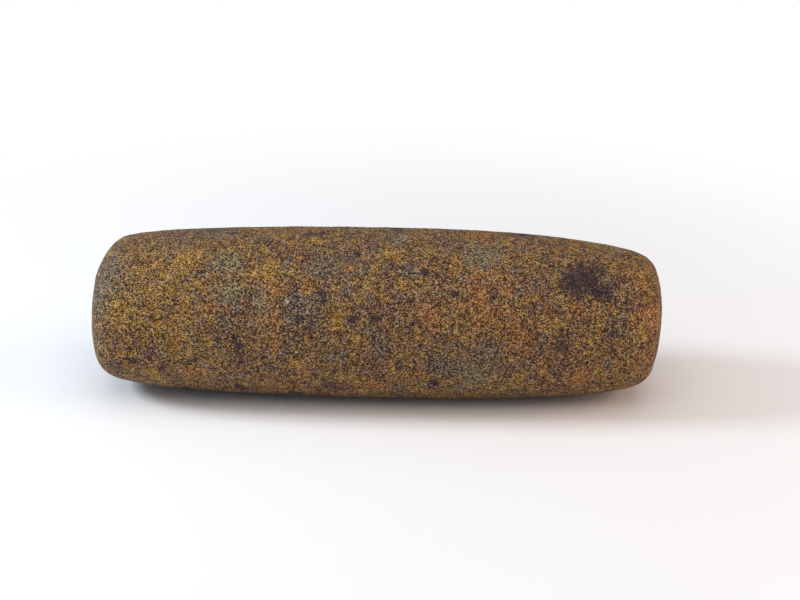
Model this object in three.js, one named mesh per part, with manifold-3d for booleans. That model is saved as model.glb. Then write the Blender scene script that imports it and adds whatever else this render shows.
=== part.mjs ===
// Hand stone: one bar of granular stone, pecked and ground to shape, that is held in both hands and rubbed
// to and fro along a grinding slab. It is a single piece, with nothing fixed to it.
// Lengths are in millimetres. X runs along the bar, Y across it and Z up. The origin is under the middle of
// the bar, on the flat that grinding has worn along its underside.

import * as THREE from "three";
import { mergeVertices } from "three/addons/utils/BufferGeometryUtils.js";
import Module from "manifold-3d";

// The bar as a whole.
const LENGTH = 240; // from the crown of one end to the crown of the other
const BELLY_OFFSET = 5; // from mid-length to the thickest section, towards the right end
const SQUARENESS = 2.2; // exponent of the cross-section: 2 is an ellipse, and more is squarer
const WORN_DEPTH = 1.2; // what grinding has taken off the underside at the belly

// Reach of the surface from the axis at the belly, before the underside wore flat.
const BELLY_SIDE = 37.5;
const BELLY_TOP = 33.5;
const BELLY_BOTTOM = 37;

// Reach of the sharp rim that the left end would have if its corners were not worn round.
const LEFT_SIDE = 30.5;
const LEFT_TOP = 27;
const LEFT_BOTTOM = 29;

// Reach of the sharp rim at the right end, which is the slimmer of the two.
const RIGHT_SIDE = 28;
const RIGHT_TOP = 24;
const RIGHT_BOTTOM = 30;

// Length over which each flank tapers to its rim. Between the two tapers the bar runs nearly level.
const LEFT_TAPER_SIDE = 30;
const LEFT_TAPER_TOP = 30;
const LEFT_TAPER_BOTTOM = 29;
const RIGHT_TAPER_SIDE = 39;
const RIGHT_TAPER_TOP = 43.5;
const RIGHT_TAPER_BOTTOM = 34;

// How far each blunt end face is crowned, and how far it leans towards the right at its top, in degrees.
const LEFT_CROWN = 5.5;
const LEFT_LEAN = 3.5;
const RIGHT_CROWN = 5.5;
const RIGHT_LEAN = 1.5;

// Worn corners: how much each takes off the flank, and how much off the end face.
// The left top corner is worn back the furthest along the end face, almost to a bevel.
const LEFT_CORNER_SIDE = 7.5;
const LEFT_CORNER_TOP = 6.5;
const LEFT_CORNER_BOTTOM = 8;
const LEFT_FACE_SIDE = 8;
const LEFT_FACE_TOP = 11;
const LEFT_FACE_BOTTOM = 5;
const RIGHT_CORNER_SIDE = 10;
const RIGHT_CORNER_TOP = 10.5;
const RIGHT_CORNER_BOTTOM = 10;
const RIGHT_FACE_SIDE = 5.5;
const RIGHT_FACE_TOP = 5;
const RIGHT_FACE_BOTTOM = 6;

// Fineness of the surface.
const TURNS = 64; // outlines round the bar
const STEPS = 9; // points on each of the three curves of half an outline

const STONE_COLOUR = 0x6e5a3d;
const STONE_ROUGHNESS = 0.85;
const STONE_METALNESS = 0;

const LEFT_END = {
  sense: -1,
  crown: LEFT_CROWN,
  lean: THREE.MathUtils.degToRad(LEFT_LEAN),
  rim: { side: LEFT_SIDE, top: LEFT_TOP, bottom: LEFT_BOTTOM },
  taper: { side: LEFT_TAPER_SIDE, top: LEFT_TAPER_TOP, bottom: LEFT_TAPER_BOTTOM },
  corner: { side: LEFT_CORNER_SIDE, top: LEFT_CORNER_TOP, bottom: LEFT_CORNER_BOTTOM },
  face: { side: LEFT_FACE_SIDE, top: LEFT_FACE_TOP, bottom: LEFT_FACE_BOTTOM },
};

const RIGHT_END = {
  sense: 1,
  crown: RIGHT_CROWN,
  lean: THREE.MathUtils.degToRad(RIGHT_LEAN),
  rim: { side: RIGHT_SIDE, top: RIGHT_TOP, bottom: RIGHT_BOTTOM },
  taper: { side: RIGHT_TAPER_SIDE, top: RIGHT_TAPER_TOP, bottom: RIGHT_TAPER_BOTTOM },
  corner: { side: RIGHT_CORNER_SIDE, top: RIGHT_CORNER_TOP, bottom: RIGHT_CORNER_BOTTOM },
  face: { side: RIGHT_FACE_SIDE, top: RIGHT_FACE_TOP, bottom: RIGHT_FACE_BOTTOM },
};

const BELLY = { side: BELLY_SIDE, top: BELLY_TOP, bottom: BELLY_BOTTOM };

// Reach of a section in the direction of a turn about the axis: 0 is the back, a quarter turn is the top.
function reachAt(section, turn) {
  const across = Math.abs(Math.cos(turn)) / section.side;
  const height = Math.sin(turn) >= 0 ? section.top : section.bottom;
  const upright = Math.abs(Math.sin(turn)) / height;
  return (across ** SQUARENESS + upright ** SQUARENESS) ** (-1 / SQUARENESS);
}

// A size that goes smoothly from its value at the sides to its values at the top and the bottom.
function sizeAt(sizes, turn) {
  const height = Math.sin(turn) >= 0 ? sizes.top : sizes.bottom;
  return THREE.MathUtils.lerp(sizes.side, height, Math.sin(turn) ** 2);
}

// Half of the bar's outline at a turn, from the pole of an end face to the belly: the crowned face, the worn
// corner and the tapering flank. The sharp rim is the control point of the corner, so the three curves meet
// without a break. X is measured from the belly and Y is the reach from the axis.
function halfOutline(end, turn) {
  const poleX = LENGTH / 2 - end.sense * BELLY_OFFSET;
  const rimX = poleX - end.crown;
  const rim = reachAt(end.rim, turn);
  const belly = reachAt(BELLY, turn);
  const taper = sizeAt(end.taper, turn);
  const corner = sizeAt(end.corner, turn);
  const face = sizeAt(end.face, turn);
  const faceSlope = (2 * end.crown) / rim;
  const flankSlope = (belly - rim) / taper;
  const outline = new THREE.Path();
  outline.moveTo(poleX, 0);
  outline.quadraticCurveTo(poleX, rim / 2, rimX + face * faceSlope, rim - face);
  outline.quadraticCurveTo(rimX, rim, rimX - corner, rim + corner * flankSlope);
  outline.quadraticCurveTo(rimX - taper, belly, 0, belly);
  return outline.getPoints(STEPS);
}

// Points of a half outline, set round the axis at their turn. The lean of the end face grows from nothing
// at the belly to its full value at the pole.
function placeHalf(end, turn) {
  const points = halfOutline(end, turn);
  const poleX = points[0].x;
  return points.map(({ x, y: reach }) => {
    const z = reach * Math.sin(turn);
    const leanShift = Math.tan(end.lean) * z * (x / poleX) ** 3;
    return new THREE.Vector3(BELLY_OFFSET + end.sense * x + leanShift, reach * Math.cos(turn), z);
  });
}

// A whole outline at a turn, from the left pole over the belly to the right pole.
function placeOutline(turn) {
  const left = placeHalf(LEFT_END, turn);
  const right = placeHalf(RIGHT_END, turn).reverse();
  return left.concat(right.slice(1));
}

// A closed skin laid over outlines that all start at one pole and end at the other.
function loft(outlines) {
  const last = outlines[0].length - 1;
  const positions = outlines.flat().flatMap((point) => point.toArray());
  const triangles = [];
  outlines.forEach((outline, row) => {
    const here = row * outline.length;
    const next = ((row + 1) % outlines.length) * outline.length;
    for (let i = 0; i < last; i += 1) {
      if (i > 0) {
        triangles.push(here + i, next + i, next + i + 1);
      }
      if (i < last - 1) {
        triangles.push(here + i, next + i + 1, here + i + 1);
      }
    }
  });
  const geometry = new THREE.BufferGeometry();
  geometry.setAttribute("position", new THREE.Float32BufferAttribute(positions, 3));
  geometry.setIndex(triangles);
  return geometry;
}

const wasm = await Module();
wasm.setup();

// A closed geometry as a solid that can be cut.
function toSolid(geometry) {
  const bare = geometry.clone();
  bare.deleteAttribute("normal");
  bare.deleteAttribute("uv");
  const merged = mergeVertices(bare);
  return new wasm.Manifold(
    new wasm.Mesh({
      numProp: 3,
      vertProperties: merged.attributes.position.array,
      triVerts: new Uint32Array(merged.index.array),
    }),
  );
}

// A cut solid as a geometry again.
function toGeometry(solid) {
  const { vertProperties, triVerts } = solid.getMesh();
  const geometry = new THREE.BufferGeometry();
  geometry.setAttribute("position", new THREE.BufferAttribute(vertProperties, 3));
  geometry.setIndex(new THREE.BufferAttribute(triVerts, 1));
  geometry.computeVertexNormals();
  return geometry;
}

// The stone itself: the shaped bar, less what grinding has worn off its underside.
function makeHandStone() {
  const turns = Array.from({ length: TURNS }, (_, i) => (i / TURNS) * 2 * Math.PI);
  const bar = toSolid(loft(turns.map(placeOutline)));
  const flatZ = WORN_DEPTH - BELLY_BOTTOM;
  const waste = new THREE.BoxGeometry(LENGTH, 2 * BELLY_SIDE, BELLY_BOTTOM);
  waste.translate(0, 0, flatZ - BELLY_BOTTOM / 2);
  const material = new THREE.MeshStandardMaterial({
    color: STONE_COLOUR,
    roughness: STONE_ROUGHNESS,
    metalness: STONE_METALNESS,
  });
  const mesh = new THREE.Mesh(toGeometry(bar.subtract(toSolid(waste))), material);
  mesh.name = "hand_stone";
  mesh.position.z = -flatZ;
  return mesh;
}

const handStone = new THREE.Group();
handStone.add(makeHandStone());

export default handStone;
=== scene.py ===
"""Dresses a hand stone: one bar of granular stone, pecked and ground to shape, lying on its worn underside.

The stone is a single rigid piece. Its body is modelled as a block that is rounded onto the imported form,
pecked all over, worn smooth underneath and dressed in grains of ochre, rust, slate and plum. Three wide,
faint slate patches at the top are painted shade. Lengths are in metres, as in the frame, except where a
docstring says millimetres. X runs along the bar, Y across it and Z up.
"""

import logging
import math
import random
from dataclasses import dataclass, field
from enum import Enum

import bmesh
import bpy
import numpy as np
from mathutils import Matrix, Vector, noise


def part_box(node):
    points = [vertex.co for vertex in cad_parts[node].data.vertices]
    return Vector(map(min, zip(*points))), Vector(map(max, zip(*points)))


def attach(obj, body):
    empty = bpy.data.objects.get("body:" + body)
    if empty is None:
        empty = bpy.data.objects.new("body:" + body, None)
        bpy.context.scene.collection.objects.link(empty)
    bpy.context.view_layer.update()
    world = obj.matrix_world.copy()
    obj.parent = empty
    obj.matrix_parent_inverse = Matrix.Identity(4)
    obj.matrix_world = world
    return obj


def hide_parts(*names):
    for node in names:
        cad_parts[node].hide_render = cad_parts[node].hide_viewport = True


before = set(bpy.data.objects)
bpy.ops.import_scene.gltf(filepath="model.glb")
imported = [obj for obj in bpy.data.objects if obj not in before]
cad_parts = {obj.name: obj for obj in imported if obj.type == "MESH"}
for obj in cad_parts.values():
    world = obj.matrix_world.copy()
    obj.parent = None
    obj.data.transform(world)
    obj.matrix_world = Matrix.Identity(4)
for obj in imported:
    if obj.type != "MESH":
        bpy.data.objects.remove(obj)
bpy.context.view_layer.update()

MM = 0.001
CLOUD_ROUGHNESS = 0.6  # how strong the finer layers of each noise pattern are

log = logging.getLogger("hand_stone")


def shade(code: int) -> tuple[float, float, float, float]:
    """Turns a screen colour into the linear colour that a shader socket takes.

    Args:
        code: The colour as it looks on a screen, written 0xRRGGBB.

    Returns:
        Its red, green, blue and alpha in linear light.
    """
    channels = [(code >> shift & 255) / 255 for shift in (16, 8, 0)]
    linear = [c / 12.92 if c <= 0.04045 else ((c + 0.055) / 1.055) ** 2.4 for c in channels]
    return (*linear, 1.0)


class Mineral(Enum):
    """What colours a patch of the stone. Slate also stands for three patches of painted shade. Each value is
    the name of its mask on the mesh.
    """

    GOLD = "gold"
    RUST = "rust"
    SLATE_AND_SHADE = "slate"
    OLIVE = "olive"
    PLUM = "plum"
    QUARTZ = "quartz"


@dataclass(frozen=True)
class SkinPatch:
    """One patch of a mineral, or of painted shade, on the skin of the stone.

    Attributes:
        mineral: What the patch is made of.
        place: Its middle, in millimetres.
        reach: Its half width, in millimetres.
        strength: How fully it covers the stone: 0 is not at all, and 0.7 or more is fully at its middle.
    """

    mineral: Mineral
    place: tuple[float, float, float]
    reach: float
    strength: float = 1.0


# The patches on the side that faces the viewer. Three wide, faint slate patches among them are painted shade.
FRONT_STAINS_AND_SHADE = (
    SkinPatch(Mineral.GOLD, (-91, -29, 55), 26.2, 0.45),
    SkinPatch(Mineral.GOLD, (-77, -17, 64), 7.6, 0.75),
    SkinPatch(Mineral.RUST, (-74, -14, 66), 3.8, 0.6),
    SkinPatch(Mineral.GOLD, (-105, -31, 47), 6.3, 0.7),
    SkinPatch(Mineral.GOLD, (-86, -25, 59), 3.4, 0.7),
    SkinPatch(Mineral.GOLD, (-88, -13, 65), 2.5, 0.7),
    SkinPatch(Mineral.GOLD, (-88, -34, 45), 2.1, 0.7),
    SkinPatch(Mineral.GOLD, (-43, -24, 62), 6.3, 0.75),
    SkinPatch(Mineral.RUST, (-48, -26, 60), 2.5, 0.8),
    SkinPatch(Mineral.RUST, (-40, -30, 57), 3.4, 0.9),
    SkinPatch(Mineral.GOLD, (-26, -6, 69), 4.2, 0.7),
    SkinPatch(Mineral.GOLD, (6, -15, 67), 4.2, 0.8),
    SkinPatch(Mineral.RUST, (9, -19, 66), 2.1, 0.6),
    SkinPatch(Mineral.GOLD, (-14, -36, 45), 4.7, 0.7),
    SkinPatch(Mineral.GOLD, (-93, -30, 17), 6.8, 0.6),
    SkinPatch(Mineral.RUST, (-68, -33, 50), 3.0, 1),
    SkinPatch(Mineral.RUST, (-27, -29, 58), 3.0, 1),
    SkinPatch(Mineral.RUST, (-9, -23, 63), 2.5, 1),
    SkinPatch(Mineral.RUST, (-101, -33, 35), 2.5, 0.8),
    SkinPatch(Mineral.RUST, (-106, -32, 26), 3.4, 0.7),
    SkinPatch(Mineral.RUST, (-81, -35, 34), 3.8, 0.8),
    SkinPatch(Mineral.RUST, (-76, -33, 20), 4.7, 0.9),
    SkinPatch(Mineral.RUST, (-77, -35, 27), 2.1, 0.8),
    SkinPatch(Mineral.RUST, (43, -33, 51), 14.4, 0.55),
    SkinPatch(Mineral.RUST, (48, -34, 49), 3.4, 0.8),
    SkinPatch(Mineral.RUST, (23, -36, 48), 5.9, 0.7),
    SkinPatch(Mineral.RUST, (58, -36, 40), 8.5, 0.6),
    SkinPatch(Mineral.RUST, (85, -30, 19), 5.1, 1),
    SkinPatch(Mineral.RUST, (114, -24, 46), 5.1, 0.8),
    SkinPatch(Mineral.RUST, (-39, -37, 33), 3.0, 0.7),
    SkinPatch(Mineral.RUST, (1, -32, 15), 5.1, 0.8),
    SkinPatch(Mineral.RUST, (16, -35, 22), 3.4, 0.6),
    SkinPatch(Mineral.GOLD, (68, -8, 67), 3.4, 0.5),
    SkinPatch(Mineral.GOLD, (111, -16, 57), 5.9, 0.6),
    SkinPatch(Mineral.RUST, (-41, -36, 43), 7.6, 0.5),
    SkinPatch(Mineral.SLATE_AND_SHADE, (-112, -22, 54), 3.0, 1),
    SkinPatch(Mineral.SLATE_AND_SHADE, (-111, -3, 62), 3.0, 0.8),
    SkinPatch(Mineral.OLIVE, (-60, -20, 64), 6.8, 0.8),
    SkinPatch(Mineral.OLIVE, (-58, -31, 55), 5.5, 0.9),
    SkinPatch(Mineral.OLIVE, (-47, -33, 52), 3.4, 0.9),
    SkinPatch(Mineral.SLATE_AND_SHADE, (-61, -36, 44), 4.7, 0.9),
    SkinPatch(Mineral.SLATE_AND_SHADE, (-30, -34, 51), 8.5, 0.9),
    SkinPatch(Mineral.SLATE_AND_SHADE, (-34, -36, 45), 3.8, 0.9),
    SkinPatch(Mineral.SLATE_AND_SHADE, (-20, -21, 64), 6.8, 0.8),
    SkinPatch(Mineral.SLATE_AND_SHADE, (-3, -24, 63), 5.9, 0.6),
    SkinPatch(Mineral.PLUM, (-21, -32, 54), 2.1, 1),
    SkinPatch(Mineral.PLUM, (-16, -31, 56), 2.1, 0.8),
    SkinPatch(Mineral.PLUM, (-4, -20, 65), 1.7, 1),
    SkinPatch(Mineral.PLUM, (-7, -14, 67), 2.1, 0.8),
    SkinPatch(Mineral.PLUM, (-29, -36, 47), 2.1, 0.7),
    SkinPatch(Mineral.SLATE_AND_SHADE, (13, -23, 63), 4.2, 0.9),
    SkinPatch(Mineral.OLIVE, (44, -14, 67), 7.6, 1),
    SkinPatch(Mineral.SLATE_AND_SHADE, (30, -36, 26), 7.6, 0.8),
    SkinPatch(Mineral.PLUM, (23, -36, 23), 2.1, 0.7),
    SkinPatch(Mineral.SLATE_AND_SHADE, (60, -27, 58), 3.4, 0.7),
    SkinPatch(Mineral.SLATE_AND_SHADE, (48, -37, 32), 7.6, 0.7),
    SkinPatch(Mineral.PLUM, (-100, -32, 24), 2.5, 0.9),
    SkinPatch(Mineral.PLUM, (-92, -34, 26), 2.1, 0.9),
    SkinPatch(Mineral.OLIVE, (40, -35, 22), 8.5, 0.7),
    SkinPatch(Mineral.SLATE_AND_SHADE, (4, -37, 36), 5.9, 0.7),
    SkinPatch(Mineral.OLIVE, (10, -3, 69), 6.8, 0.7),
    SkinPatch(Mineral.PLUM, (-54, -28, 11), 3.4, 0.9),
    SkinPatch(Mineral.PLUM, (-73, -35, 25), 2.5, 0.9),
    SkinPatch(Mineral.PLUM, (-88, -32, 21), 2.5, 0.7),
    SkinPatch(Mineral.PLUM, (20, -24, 62), 2.1, 1),
    SkinPatch(Mineral.PLUM, (27, -25, 62), 2.1, 0.9),
    SkinPatch(Mineral.PLUM, (15, -32, 54), 1.7, 0.9),
    SkinPatch(Mineral.PLUM, (2, -36, 47), 2.1, 0.7),
    SkinPatch(Mineral.PLUM, (-18, -32, 14), 3.4, 0.8),
    SkinPatch(Mineral.PLUM, (24, -37, 31), 2.1, 0.9),
    SkinPatch(Mineral.PLUM, (85, -16, 63), 4.2, 1),
    SkinPatch(Mineral.PLUM, (88, -23, 58), 4.2, 1),
    SkinPatch(Mineral.PLUM, (91, -27, 54), 3.0, 0.9),
    SkinPatch(Mineral.PLUM, (80, -19, 62), 3.0, 0.7),
    SkinPatch(Mineral.PLUM, (93, -15, 62), 4.2, 0.6),
    SkinPatch(Mineral.PLUM, (84, -21, 61), 9.5, 0.95),
    SkinPatch(Mineral.PLUM, (93, -24, 55), 7.0, 0.75),
    SkinPatch(Mineral.SLATE_AND_SHADE, (96, -22, 56), 11.0, 0.5),
    SkinPatch(Mineral.GOLD, (-88, -31, 50), 24, 0.42),
    # Painted shade: these three wide, faint slate patches darken the left end, the upper left and the top
    # middle, where the lamps light the stone brightest. They are not slate in the stone.
    SkinPatch(Mineral.SLATE_AND_SHADE, (-112, -20, 54), 15, 0.85),
    SkinPatch(Mineral.SLATE_AND_SHADE, (-84, -8, 66), 11, 0.45),
    SkinPatch(Mineral.SLATE_AND_SHADE, (-8, -18, 62), 18, 0.42),
    SkinPatch(Mineral.PLUM, (98, -31, 41), 2.1, 0.8),
    SkinPatch(Mineral.PLUM, (77, -35, 34), 3.8, 0.7),
    SkinPatch(Mineral.PLUM, (33, -30, 57), 2.1, 0.7),
    SkinPatch(Mineral.PLUM, (50, -31, 55), 2.1, 0.7),
    SkinPatch(Mineral.PLUM, (-8, -36, 45), 2.1, 0.7),
    SkinPatch(Mineral.PLUM, (25, -33, 16), 3.0, 0.9),
    SkinPatch(Mineral.PLUM, (-55, -37, 33), 3.8, 0.6),
    SkinPatch(Mineral.PLUM, (-112, -28, 23), 2.1, 0.8),
    SkinPatch(Mineral.QUARTZ, (-35.1, -33.1, 52.6), 0.8, 1),
    SkinPatch(Mineral.QUARTZ, (-31.2, -37.1, 31.4), 0.7, 1),
    SkinPatch(Mineral.QUARTZ, (-115.6, -12.2, 54.4), 0.8, 0.8),
    SkinPatch(Mineral.QUARTZ, (-88.2, -33.7, 25.5), 0.6, 0.7),
    SkinPatch(Mineral.QUARTZ, (3.1, 10.3, 68.4), 0.7, 0.7),
    SkinPatch(Mineral.QUARTZ, (70.9, -24.7, 59.3), 0.6, 0.6),
)


def nodes_of(tree: bpy.types.NodeTree, kind: str, **settings: object) -> bpy.types.Node:
    """Adds a node to a tree and sets it.

    Args:
        tree: The node tree.
        kind: The node's type.
        settings: Properties of the node, by name.

    Returns:
        The new node.
    """
    node = tree.nodes.new(kind)
    for name, value in settings.items():
        setattr(node, name, value)
    return node


def feed(tree: bpy.types.NodeTree, target: bpy.types.NodeSocket, source: object) -> None:
    """Joins a socket to another one, or sets it to a plain value.

    Args:
        tree: The node tree that both are in.
        target: The input socket.
        source: An output socket, a number or a colour.
    """
    if isinstance(source, bpy.types.NodeSocket):
        tree.links.new(source, target)
    else:
        target.default_value = source


def math_of(
    tree: bpy.types.NodeTree, kind: str, *values: object, clamp: bool = False
) -> bpy.types.NodeSocket:
    """Adds a Math node and returns its output.

    Args:
        tree: The node tree.
        kind: The operation.
        values: What goes in, as sockets or numbers.
        clamp: Whether the result is kept from 0 to 1.

    Returns:
        The output socket.
    """
    node = nodes_of(tree, "ShaderNodeMath", operation=kind, use_clamp=clamp)
    for socket, value in zip(node.inputs, values):
        feed(tree, socket, value)
    return node.outputs[0]


def blend_of(
    tree: bpy.types.NodeTree, amount: object, first: object, second: object, kind: str = "MIX"
) -> bpy.types.NodeSocket:
    """Lays one colour over another.

    Args:
        tree: The node tree.
        amount: How much of the second shows, as a socket or a number.
        first: The colour underneath.
        second: The colour on top.
        kind: The blend type.

    Returns:
        The mixed colour.
    """
    node = nodes_of(tree, "ShaderNodeMix", data_type="RGBA", blend_type=kind, clamp_result=True)
    feed(tree, node.inputs["Factor"], amount)
    feed(tree, node.inputs["A"], first)
    feed(tree, node.inputs["B"], second)
    return next(out for out in node.outputs if out.type == "RGBA")


def range_of(
    tree: bpy.types.NodeTree,
    value: object,
    low: float,
    high: float,
    to_low: float = 0.0,
    to_high: float = 1.0,
) -> bpy.types.NodeSocket:
    """Maps a range of values to another one, with soft ends.

    Args:
        tree: The node tree.
        value: What goes in.
        low: The value that gives to_low.
        high: The value that gives to_high.
        to_low: The lowest result.
        to_high: The highest result.

    Returns:
        The mapped value.
    """
    node = nodes_of(tree, "ShaderNodeMapRange", interpolation_type="SMOOTHSTEP")
    names = ("Value", "From Min", "From Max", "To Min", "To Max")
    for name, item in zip(names, (value, low, high, to_low, to_high)):
        feed(tree, node.inputs[name], item)
    return node.outputs[0]


def cloud_of(
    tree: bpy.types.NodeTree, place: object, size: float, detail: float, seed: float
) -> bpy.types.NodeSocket:
    """Adds a noise pattern.

    Args:
        tree: The node tree.
        place: The coordinates, in millimetres.
        size: The width of its features, in millimetres.
        detail: How many finer layers it has.
        seed: Sets it apart from other patterns of the same size.

    Returns:
        The pattern's value, about one half on average.
    """
    node = nodes_of(tree, "ShaderNodeTexNoise", noise_dimensions="4D")
    feed(tree, node.inputs["Vector"], place)
    feed(tree, node.inputs["W"], seed)
    feed(tree, node.inputs["Scale"], 1 / size)
    feed(tree, node.inputs["Detail"], detail)
    feed(tree, node.inputs["Roughness"], CLOUD_ROUGHNESS)
    return node.outputs[0]


@dataclass(frozen=True)
class GrainLayer:
    """A layer of mineral grains, packed side by side, each with a shade and a tint of its own.

    Attributes:
        name: The name of its node group.
    """

    name: str = "mineral_grains"

    def group(self) -> bpy.types.NodeTree:
        """Builds the node group once, and finds it again after that.

        Returns:
            The group, which takes a place and a grain size and puts out a shade, a tint and a height.
        """
        found = bpy.data.node_groups.get(self.name)
        if found:
            return found
        tree = bpy.data.node_groups.new(self.name, "ShaderNodeTree")
        tree.interface.new_socket("Place", in_out="INPUT", socket_type="NodeSocketVector")
        tree.interface.new_socket("Per Millimetre", in_out="INPUT", socket_type="NodeSocketFloat")
        for name in ("Shade", "Tint", "Height"):
            tree.interface.new_socket(name, in_out="OUTPUT", socket_type="NodeSocketFloat")
        inlet = nodes_of(tree, "NodeGroupInput")
        outlet = nodes_of(tree, "NodeGroupOutput")
        cells = nodes_of(tree, "ShaderNodeTexVoronoi", voronoi_dimensions="3D", feature="F1")
        feed(tree, cells.inputs["Vector"], inlet.outputs["Place"])
        feed(tree, cells.inputs["Scale"], inlet.outputs["Per Millimetre"])
        parts = nodes_of(tree, "ShaderNodeSeparateColor")
        feed(tree, parts.inputs[0], cells.outputs["Color"])
        dome = math_of(tree, "SUBTRACT", 1.0, cells.outputs["Distance"], clamp=True)
        feed(tree, outlet.inputs["Shade"], parts.outputs[0])
        feed(tree, outlet.inputs["Tint"], parts.outputs[1])
        feed(tree, outlet.inputs["Height"], math_of(tree, "MULTIPLY", dome, parts.outputs[0]))
        return tree

    def lay(self, tree: bpy.types.NodeTree, place: object, size: float) -> bpy.types.Node:
        """Places the group in a material.

        Args:
            tree: The material's node tree.
            place: The coordinates, in millimetres.
            size: The width of a grain, in millimetres.

        Returns:
            The group's node.
        """
        node = nodes_of(tree, "ShaderNodeGroup", node_tree=self.group())
        feed(tree, node.inputs["Place"], place)
        feed(tree, node.inputs["Per Millimetre"], 1 / size)
        return node


@dataclass(frozen=True)
class Fleck:
    """A kind of small blotch that is found all over the stone.

    Attributes:
        colour: Its colour, written 0xRRGGBB.
        size: The width of its blotches, in millimetres.
        start: The level of the pattern that it begins at. A lower one makes it more common.
        full: The level that it is fully there at.
        strength: How much of the ground it covers where it is full.
    """

    colour: int
    size: float
    start: float
    full: float
    strength: float


@dataclass(frozen=True)
class PeckedStone:
    """The finish of the stone: packed grains over patchy ochre brown, with pits between them.

    Sizes are in millimetres and colours are written 0xRRGGBB. Where a field holds two levels, an effect
    begins at the first one and is full at the second.

    Attributes:
        name: The name of the material.
        grain: The width of a coarse grain.
        fine_grain: The width of a fine grain.
        fine_share: How much of a grain's shade comes from the fine layer. The rest comes from the coarse one.
        brown: The darker colour of the ground.
        tan: The lighter colour of the ground.
        patch: The width of the ground's patches of brown and tan.
        patch_levels: The levels of the patch pattern between which brown turns into tan.
        flecks: The small blotches that are found all over.
        colours: What each mineral looks like, from the lowest layer to the top one. The slate colour also
            paints shade.
        mottle: The width of the breaks in a mineral's patches.
        mottle_strength: How deeply a patch is broken up.
        stray_strength: How far single grains of a mineral stray past the edge of its patch.
        stain_levels: The two levels of a mineral's mask.
        stain_strength: How much of the ground a full patch covers.
        hush: How much a full plum patch takes off the light grains.
        cream: The colour of the light grains.
        pit: The colour of the dark grains and the pits.
        light_levels: The two levels of a light grain's shade.
        dark_levels: The two levels of a dark grain's shade.
        lit_gain: How much lighter than the ground its own light grains are.
        sunk_gain: How much darker than the ground its own dark grains are.
        tinting: How much of a light or dark grain's colour comes from the ground.
        fine_height: The height of a fine grain, where a coarse one has 1.
        relief: The depth of the grain's bumps.
        roughness: How dull the stone is.
        gloss: The strength of its plain reflection.
    """

    name: str = "pecked_stone"
    grain: float = 0.56
    fine_grain: float = 0.38
    fine_share: float = 0.58
    brown: int = 0x58321C
    tan: int = 0x6C5020
    patch: float = 14
    patch_levels: tuple[float, float] = (0.41, 0.59)
    flecks: tuple[Fleck, ...] = (
        Fleck(0x966C16, 3.8, 0.5, 0.6, 0.85),
        Fleck(0x402630, 3.2, 0.52, 0.62, 0.85),
        Fleck(0x4C4A44, 5.5, 0.55, 0.64, 0.8),
        Fleck(0x844E1A, 4.4, 0.57, 0.66, 0.8),
    )
    colours: tuple[tuple[Mineral, int], ...] = (
        (Mineral.OLIVE, 0x66624A),
        (Mineral.SLATE_AND_SHADE, 0x45413E),
        (Mineral.GOLD, 0x987014),
        (Mineral.RUST, 0x8E581C),
        (Mineral.PLUM, 0x28182A),
        (Mineral.QUARTZ, 0xE4E2D8),
    )
    mottle: float = 3.6
    mottle_strength: float = 1.7
    stray_strength: float = 0.35
    stain_levels: tuple[float, float] = (0.16, 0.72)
    stain_strength: float = 0.95
    hush: float = 0.75
    cream: int = 0xC2A47C
    pit: int = 0x221006
    light_levels: tuple[float, float] = (0.56, 0.75)
    dark_levels: tuple[float, float] = (0.5, 0.32)
    lit_gain: float = 2.5
    sunk_gain: float = 0.12
    tinting: float = 0.42
    fine_height: float = 0.6
    relief: float = 0.22
    roughness: float = 0.82
    gloss: float = 0.35

    def build(self) -> bpy.types.Material:
        """Builds the material.

        Returns:
            The finished material.
        """
        material = bpy.data.materials.new(self.name)
        material.use_nodes = True
        tree = material.node_tree
        shader = tree.nodes["Principled BSDF"]
        coordinates = nodes_of(tree, "ShaderNodeTexCoord")
        scaled = nodes_of(tree, "ShaderNodeMapping")
        feed(tree, scaled.inputs["Vector"], coordinates.outputs["Object"])
        scaled.inputs["Scale"].default_value = (1 / MM,) * 3
        place = scaled.outputs["Vector"]
        coarse = GrainLayer().lay(tree, place, self.grain)
        fine = GrainLayer().lay(tree, place, self.fine_grain)

        ground = self.lay_ground(tree, place)
        ground, bare = self.lay_stains(tree, place, ground, coarse.outputs["Tint"])
        coarse_shade = math_of(tree, "MULTIPLY", coarse.outputs["Shade"], 1 - self.fine_share)
        fine_shade = math_of(tree, "MULTIPLY", fine.outputs["Shade"], self.fine_share)
        grains = math_of(tree, "ADD", coarse_shade, fine_shade)
        feed(tree, shader.inputs["Base Color"], self.lay_grains(tree, ground, grains, bare))

        fine_height = math_of(tree, "MULTIPLY", fine.outputs["Height"], self.fine_height)
        bump = nodes_of(tree, "ShaderNodeBump")
        bump.inputs["Strength"].default_value = 1.0
        bump.inputs["Distance"].default_value = self.relief * MM
        feed(tree, bump.inputs["Height"], math_of(tree, "ADD", coarse.outputs["Height"], fine_height))
        feed(tree, shader.inputs["Normal"], bump.outputs["Normal"])
        shader.inputs["Roughness"].default_value = self.roughness
        shader.inputs["Specular IOR Level"].default_value = self.gloss
        return material

    def lay_ground(self, tree: bpy.types.NodeTree, place: object) -> bpy.types.NodeSocket:
        """Makes the ground of brown and tan patches, with flecks all over it.

        Args:
            tree: The material's node tree.
            place: The coordinates, in millimetres.

        Returns:
            The ground's colour.
        """
        patches = range_of(tree, cloud_of(tree, place, self.patch, 4, 1), *self.patch_levels)
        ground = blend_of(tree, patches, shade(self.brown), shade(self.tan))
        for seed, fleck in enumerate(self.flecks, start=20):
            cloud = cloud_of(tree, place, fleck.size, 2, seed)
            spots = range_of(tree, cloud, fleck.start, fleck.full, 0.0, fleck.strength)
            ground = blend_of(tree, spots, ground, shade(fleck.colour))
        return ground

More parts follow.
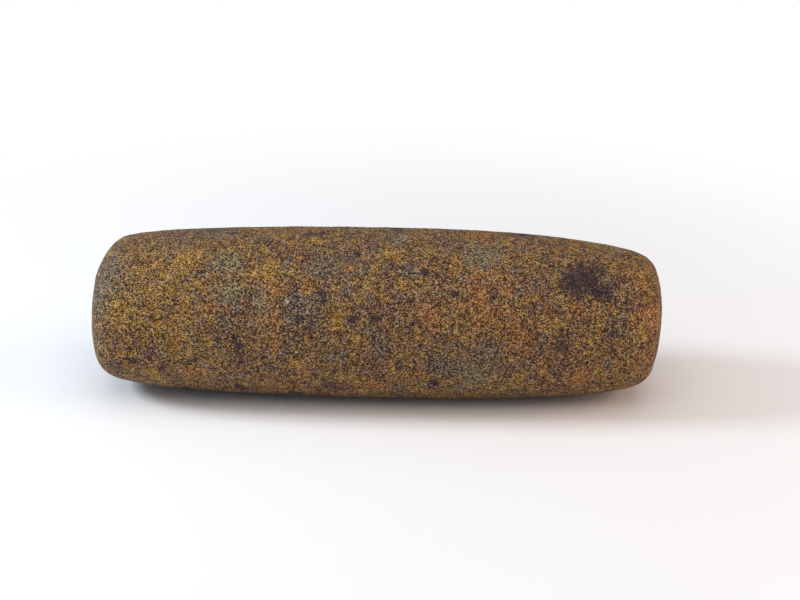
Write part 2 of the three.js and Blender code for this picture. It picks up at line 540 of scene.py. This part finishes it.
    def lay_stains(
        self, tree: bpy.types.NodeTree, place: object, ground: object, tint: object
    ) -> tuple[bpy.types.NodeSocket, object]:
        """Lays each mineral's patches on the ground, by the mask on the mesh that has its name. The slate
        mask also holds patches of painted shade.

        Args:
            tree: The material's node tree.
            place: The coordinates, in millimetres.
            ground: The colour underneath.
            tint: A value of each coarse grain's own, which lets single grains stray past an edge.

        Returns:
            The stained ground, and how many of the light grains are left at each place, from 0 to 1.
        """
        bare: object = 1.0
        for seed, (mineral, code) in enumerate(self.colours, start=5):
            mask = nodes_of(tree, "ShaderNodeAttribute", attribute_name=mineral.value).outputs["Fac"]
            if mineral is not Mineral.QUARTZ:
                breaks = math_of(tree, "SUBTRACT", cloud_of(tree, place, self.mottle, 3, seed), 0.5)
                strays = math_of(tree, "SUBTRACT", tint, 0.5)
                mask = math_of(tree, "MULTIPLY_ADD", breaks, self.mottle_strength, mask)
                mask = math_of(tree, "MULTIPLY_ADD", strays, self.stray_strength, mask)
            cover = range_of(tree, mask, *self.stain_levels, 0.0, self.stain_strength)
            ground = blend_of(tree, cover, ground, shade(code))
            if mineral is Mineral.PLUM:
                bare = math_of(tree, "SUBTRACT", 1.0, math_of(tree, "MULTIPLY", cover, self.hush))
        return ground, bare

    def lay_grains(
        self, tree: bpy.types.NodeTree, ground: object, grains: object, bare: object
    ) -> bpy.types.NodeSocket:
        """Lays the light and dark grains over the ground. Each takes part of its colour from under it.

        Args:
            tree: The material's node tree.
            ground: The colour underneath.
            grains: The shade of each grain.
            bare: How many of the light grains are left at each place, from 0 to 1.

        Returns:
            The finished colour.
        """
        lit = blend_of(tree, 1.0, ground, (self.lit_gain,) * 3 + (1,), "MULTIPLY")
        sunk = blend_of(tree, 1.0, ground, (self.sunk_gain,) * 3 + (1,), "MULTIPLY")
        light = math_of(tree, "MULTIPLY", range_of(tree, grains, *self.light_levels), bare)
        dark = range_of(tree, grains, *self.dark_levels)
        colour = blend_of(tree, light, ground, blend_of(tree, self.tinting, shade(self.cream), lit))
        return blend_of(tree, dark, colour, blend_of(tree, self.tinting, shade(self.pit), sunk))


@dataclass(frozen=True)
class Relief:
    """A pattern that is sunk into the skin of the stone.

    Attributes:
        name: The name of its texture.
        kind: The texture's type.
        width: The width of its features, in millimetres.
        depth: How deep it goes, in millimetres.
    """

    name: str
    kind: str
    width: float
    depth: float


@dataclass(frozen=True)
class Scatter:
    """Patches of one mineral that are strewn over the hidden sides.

    Attributes:
        mineral: What they are made of.
        count: How many there are.
        reach: Their usual half width, in millimetres.
        strength: How fully the strongest ones cover the stone.
    """

    mineral: Mineral
    count: int
    reach: float
    strength: float


@dataclass
class StoneBody:
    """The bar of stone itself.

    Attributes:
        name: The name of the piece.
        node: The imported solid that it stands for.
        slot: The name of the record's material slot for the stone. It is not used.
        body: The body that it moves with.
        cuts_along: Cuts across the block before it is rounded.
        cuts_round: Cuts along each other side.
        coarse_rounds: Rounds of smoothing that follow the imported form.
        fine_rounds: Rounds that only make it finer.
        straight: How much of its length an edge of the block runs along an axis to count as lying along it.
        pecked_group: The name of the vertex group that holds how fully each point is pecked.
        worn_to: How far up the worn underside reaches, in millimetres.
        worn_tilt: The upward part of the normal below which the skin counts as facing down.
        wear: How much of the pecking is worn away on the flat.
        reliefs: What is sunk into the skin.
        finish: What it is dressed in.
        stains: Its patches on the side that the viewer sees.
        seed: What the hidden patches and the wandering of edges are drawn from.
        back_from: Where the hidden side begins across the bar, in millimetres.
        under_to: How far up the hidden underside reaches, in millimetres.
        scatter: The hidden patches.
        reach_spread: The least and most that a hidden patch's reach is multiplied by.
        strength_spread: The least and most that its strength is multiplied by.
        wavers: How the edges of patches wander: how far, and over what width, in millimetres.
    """

    name: str = "stone_body"
    node: str = "hand_stone"
    slot: str = "stone"
    body: str = "root"
    cuts_along: int = 9
    cuts_round: int = 1
    coarse_rounds: int = 4
    fine_rounds: int = 1
    straight: float = 0.99
    pecked_group: str = "pecked"
    worn_to: float = 2.5
    worn_tilt: float = -0.9
    wear: float = 0.85
    reliefs: tuple[Relief, ...] = (
        Relief("pecks", "VORONOI", 3.2, 0.14),
        Relief("hollows", "CLOUDS", 14, 0.3),
        Relief("grit", "CLOUDS", 1.3, 0.22),
    )
    finish: PeckedStone = field(default_factory=PeckedStone)
    stains: tuple[SkinPatch, ...] = FRONT_STAINS_AND_SHADE
    seed: int = 11
    back_from: float = 2.0
    under_to: float = 8.0
    scatter: tuple[Scatter, ...] = (
        Scatter(Mineral.GOLD, 26, 6.0, 0.7),
        Scatter(Mineral.RUST, 26, 4.5, 0.8),
        Scatter(Mineral.SLATE_AND_SHADE, 24, 6.5, 0.8),
        Scatter(Mineral.OLIVE, 16, 8.0, 0.8),
        Scatter(Mineral.PLUM, 44, 3.0, 0.85),
        Scatter(Mineral.QUARTZ, 10, 0.7, 0.8),
    )
    reach_spread: tuple[float, float] = (0.6, 1.6)
    strength_spread: tuple[float, float] = (0.7, 1.0)
    wavers: tuple[tuple[float, float], ...] = ((1.3, 3), (2.2, 8))

    def build(self) -> bpy.types.Object:
        """Models, dresses and places the stone.

        Returns:
            The finished piece.
        """
        piece = self.block_out()
        self.round_to_form(piece)
        self.roughen(piece)
        self.stain(piece)
        piece.data.materials.append(self.finish.build())
        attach(piece, self.body)
        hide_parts(self.node)
        return piece

    def block_out(self) -> bpy.types.Object:
        """Makes the block that the bar is shaped from, cut into near squares.

        Returns:
            The block.
        """
        low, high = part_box(self.node)
        bpy.ops.object.select_all(action="DESELECT")
        bpy.ops.mesh.primitive_cube_add(size=1, location=(low + high) / 2)
        piece = bpy.context.active_object
        piece.name = self.name
        piece.data.name = self.name
        piece.scale = high - low
        bpy.ops.object.transform_apply(location=True, rotation=True, scale=True)
        for axis, cuts in enumerate((self.cuts_along, self.cuts_round, self.cuts_round)):
            self.cut_across(piece, axis, cuts)
        return piece

    def cut_across(self, piece: bpy.types.Object, axis: int, cuts: int) -> None:
        """Cuts the block across one axis.

        Args:
            piece: The block.
            axis: 0 for X, 1 for Y and 2 for Z.
            cuts: How many cuts are made.
        """
        bpy.ops.object.mode_set(mode="EDIT")
        bpy.ops.mesh.select_mode(type="EDGE")
        bpy.ops.mesh.select_all(action="DESELECT")
        shape = bmesh.from_edit_mesh(piece.data)
        for edge in shape.edges:
            run = edge.verts[1].co - edge.verts[0].co
            edge.select_set(abs(run[axis]) > self.straight * run.length)
        bmesh.update_edit_mesh(piece.data)
        bpy.ops.mesh.subdivide(number_cuts=cuts)
        bpy.ops.object.mode_set(mode="OBJECT")

    def apply(self, piece: bpy.types.Object, kind: str, **settings: object) -> None:
        """Adds a modifier, sets it and applies it.

        Args:
            piece: The object.
            kind: The modifier's type.
            settings: Its properties, by name.
        """
        modifier = piece.modifiers.new(kind.lower(), kind)
        for name, value in settings.items():
            setattr(modifier, name, value)
        bpy.context.view_layer.objects.active = piece
        bpy.ops.object.modifier_apply(modifier=modifier.name)

    def round_to_form(self, piece: bpy.types.Object) -> None:
        """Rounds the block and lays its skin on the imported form.

        Args:
            piece: The block.
        """
        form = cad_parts[self.node]
        for _ in range(self.coarse_rounds):
            self.apply(piece, "SUBSURF", levels=1, render_levels=1)
            self.apply(piece, "SHRINKWRAP", target=form, wrap_method="NEAREST_SURFACEPOINT")
        self.apply(piece, "SUBSURF", levels=self.fine_rounds, render_levels=self.fine_rounds)
        bpy.ops.object.select_all(action="DESELECT")
        piece.select_set(True)
        bpy.context.view_layer.objects.active = piece
        bpy.ops.object.shade_smooth()

    def roughen(self, piece: bpy.types.Object) -> None:
        """Pecks the skin all over and leaves the worn underside nearly smooth.

        Args:
            piece: The rounded bar.
        """
        pecked = piece.vertex_groups.new(name=self.pecked_group)
        for vertex in piece.data.vertices:
            facing_down = vertex.normal.z < self.worn_tilt
            flat = max(0.0, 1 - vertex.co.z / (self.worn_to * MM)) * facing_down
            pecked.add([vertex.index], 1 - self.wear * flat, "REPLACE")
        for relief in self.reliefs:
            pattern = bpy.data.textures.new(relief.name, type=relief.kind)
            pattern.noise_scale = relief.width * MM
            self.apply(
                piece,
                "DISPLACE",
                texture=pattern,
                texture_coords="LOCAL",
                mid_level=1.0,
                strength=relief.depth * MM,
                vertex_group=self.pecked_group,
            )
        piece.vertex_groups.clear()

    def hidden_stains(self, places: np.ndarray) -> list[SkinPatch]:
        """Scatters patches of the same kinds over the sides that the viewer doesn't see.

        Args:
            places: Every point of the skin, in millimetres.

        Returns:
            The patches.
        """
        draw = random.Random(self.seed)
        hidden = np.flatnonzero((places[:, 1] > self.back_from) | (places[:, 2] < self.under_to))
        stains = []
        for kind in self.scatter:
            for _ in range(kind.count):
                middle = places[draw.choice(hidden)]
                reach = kind.reach * draw.uniform(*self.reach_spread)
                strength = kind.strength * draw.uniform(*self.strength_spread)
                stains.append(SkinPatch(kind.mineral, tuple(middle), reach, strength))
        return stains

    def stain(self, piece: bpy.types.Object) -> None:
        """Dabs each mineral's patches on the skin, as one mask a mineral. The slate mask also takes the
        patches of painted shade.

        Args:
            piece: The bar.
        """
        noise.seed_set(self.seed)  # noise_vector differs from run to run without one
        points = [vertex.co / MM for vertex in piece.data.vertices]
        places = np.array(points)
        (small, small_width), (large, large_width) = self.wavers
        shifts = [
            small * noise.noise_vector(point / small_width) + large * noise.noise_vector(point / large_width)
            for point in points
        ]
        ragged = places + np.array(shifts)
        stains = [*self.stains, *self.hidden_stains(places)]
        for mineral in Mineral:
            values = np.zeros(len(places))
            skin = places if mineral is Mineral.QUARTZ else ragged
            for dab in (item for item in stains if item.mineral is mineral):
                away = ((skin - dab.place) ** 2).sum(axis=1) / dab.reach**2
                values = np.maximum(values, dab.strength * np.exp(-away))
            mask = piece.data.attributes.new(mineral.value, "FLOAT", "POINT")
            mask.data.foreach_set("value", values)


@dataclass(frozen=True)
class Lamp:
    """A square soft light that faces the stone.

    Attributes:
        name: Its name.
        place: Where it stands.
        width: Its side.
        power: Its power, in watts.
        colour: Its colour, written 0xRRGGBB.
    """

    name: str
    place: tuple[float, float, float]
    width: float
    power: float
    colour: int


@dataclass
class Studio:
    """The plain pale floor, the soft lights and the camera.

    Attributes:
        floor_half: Half the side of the floor.
        floor_drop: How far the floor lies below the stone, so that the two don't meet in one plane.
        floor_colour: The floor's colour, in linear light.
        floor_roughness: How dull the floor is.
        floor_gloss: The strength of the floor's plain reflection.
        floor_fade: How far from the middle the floor begins to turn white to the camera, and is white.
        world_colour: The colour of the light from all round, written 0xRRGGBB.
        world_level: Its strength.
        lamps: The soft lights.
        elevation: How far the camera looks down, in degrees.
        azimuth: How far it stands to the right of straight ahead, in degrees.
        distance: How far it stands from what it looks at.
        aim: What it looks at.
        lens: Its focal length, in millimetres.
        sensor: The width of its sensor, in millimetres.
        shift: How far the picture is shifted sideways and up, as parts of its width.
    """

    floor_half: float = 1.5
    floor_drop: float = 0.02 * MM
    floor_colour: tuple[float, float, float, float] = (0.96, 0.96, 0.965, 1)
    floor_roughness: float = 0.9
    floor_gloss: float = 0.1
    floor_fade: tuple[float, float] = (0.14, 0.36)
    world_colour: int = 0xE8F2FF
    world_level: float = 0.4
    lamps: tuple[Lamp, ...] = (
        Lamp("key_left", (-0.85, -0.05, 0.55), 0.28, 6.6, 0xE8F4FF),
        Lamp("fill_right", (0.9, -0.15, 0.4), 0.5, 3.8, 0xFFD2AC),
        Lamp("top", (0.0, -0.4, 1.05), 1.2, 4.8, 0xFFF7EC),
    )
    elevation: float = 23.5
    azimuth: float = 2.674
    distance: float = 0.9
    aim: tuple[float, float, float] = (0, 0, 35.3 * MM)
    lens: float = 95.7
    sensor: float = 36
    shift: tuple[float, float] = (0.0293, 0.012)

    def build(self) -> None:
        """Sets the floor, the world, the lights and the camera."""
        self.lay_floor()
        self.light_world()
        for lamp in self.lamps:
            self.add_lamp(lamp)
        self.set_camera()

    def lay_floor(self) -> None:
        """Lays the floor, which is white to the camera away from the stone and keeps its shadow."""
        bpy.ops.object.select_all(action="DESELECT")
        bpy.ops.mesh.primitive_plane_add(size=2 * self.floor_half, location=(0, 0, -self.floor_drop))
        floor = bpy.context.active_object
        floor.name = "floor"
        bpy.ops.object.transform_apply(location=True, rotation=True, scale=True)
        material = bpy.data.materials.new("pale_floor")
        material.use_nodes = True
        tree = material.node_tree
        shader = tree.nodes["Principled BSDF"]
        shader.inputs["Base Color"].default_value = self.floor_colour
        shader.inputs["Roughness"].default_value = self.floor_roughness
        shader.inputs["Specular IOR Level"].default_value = self.floor_gloss
        white = nodes_of(tree, "ShaderNodeEmission")
        rays = nodes_of(tree, "ShaderNodeLightPath")
        place = nodes_of(tree, "ShaderNodeTexCoord")
        far = nodes_of(tree, "ShaderNodeVectorMath", operation="LENGTH")
        feed(tree, far.inputs[0], place.outputs["Object"])
        away = range_of(tree, far.outputs["Value"], *self.floor_fade)
        mix = nodes_of(tree, "ShaderNodeMixShader")
        feed(tree, mix.inputs[0], math_of(tree, "MULTIPLY", away, rays.outputs["Is Camera Ray"]))
        feed(tree, mix.inputs[1], shader.outputs[0])
        feed(tree, mix.inputs[2], white.outputs[0])
        feed(tree, tree.nodes["Material Output"].inputs["Surface"], mix.outputs[0])
        floor.data.materials.append(material)

    def light_world(self) -> None:
        """Lights the stone from all round and shows white behind it."""
        world = bpy.data.worlds.new("studio")
        bpy.context.scene.world = world
        world.use_nodes = True
        tree = world.node_tree
        tree.nodes.clear()
        outlet = nodes_of(tree, "ShaderNodeOutputWorld")
        rays = nodes_of(tree, "ShaderNodeLightPath")
        soft = nodes_of(tree, "ShaderNodeBackground")
        soft.inputs["Color"].default_value = shade(self.world_colour)
        soft.inputs["Strength"].default_value = self.world_level
        white = nodes_of(tree, "ShaderNodeBackground")
        white.inputs["Color"].default_value = (1, 1, 1, 1)
        mix = nodes_of(tree, "ShaderNodeMixShader")
        feed(tree, mix.inputs[0], rays.outputs["Is Camera Ray"])
        feed(tree, mix.inputs[1], soft.outputs[0])
        feed(tree, mix.inputs[2], white.outputs[0])
        feed(tree, outlet.inputs["Surface"], mix.outputs[0])

    def add_lamp(self, lamp: Lamp) -> None:
        """Adds a soft light and turns it towards the stone.

        Args:
            lamp: The light.
        """
        bpy.ops.object.light_add(type="AREA", location=lamp.place)
        light = bpy.context.active_object
        light.name = lamp.name
        light.data.size = lamp.width
        light.data.energy = lamp.power
        light.data.color = shade(lamp.colour)[:3]
        light.rotation_euler = (Vector(self.aim) - Vector(lamp.place)).to_track_quat("-Z", "Y").to_euler()

    def set_camera(self) -> None:
        """Sets the camera at the viewing angle of the photograph."""
        turn, rise = math.radians(self.azimuth), math.radians(self.elevation)
        back = Vector((math.sin(turn) * math.cos(rise), -math.cos(turn) * math.cos(rise), math.sin(rise)))
        bpy.ops.object.camera_add(location=Vector(self.aim) + self.distance * back)
        camera = bpy.context.active_object
        camera.rotation_euler = (-back).to_track_quat("-Z", "Y").to_euler()
        camera.data.lens = self.lens
        camera.data.sensor_width = self.sensor
        camera.data.sensor_fit = "HORIZONTAL"
        camera.data.shift_x, camera.data.shift_y = self.shift
        bpy.context.scene.camera = camera


def main() -> None:
    """Builds the stone and its studio, and reports each."""
    logging.basicConfig(level=logging.INFO, format="%(name)s: %(message)s")
    bpy.context.scene.view_settings.view_transform = "Standard"
    piece = StoneBody().build()
    log.info("%s: %d faces", piece.name, len(piece.data.polygons))
    Studio().build()
    log.info("studio set")


if __name__ == "__main__":
    main()
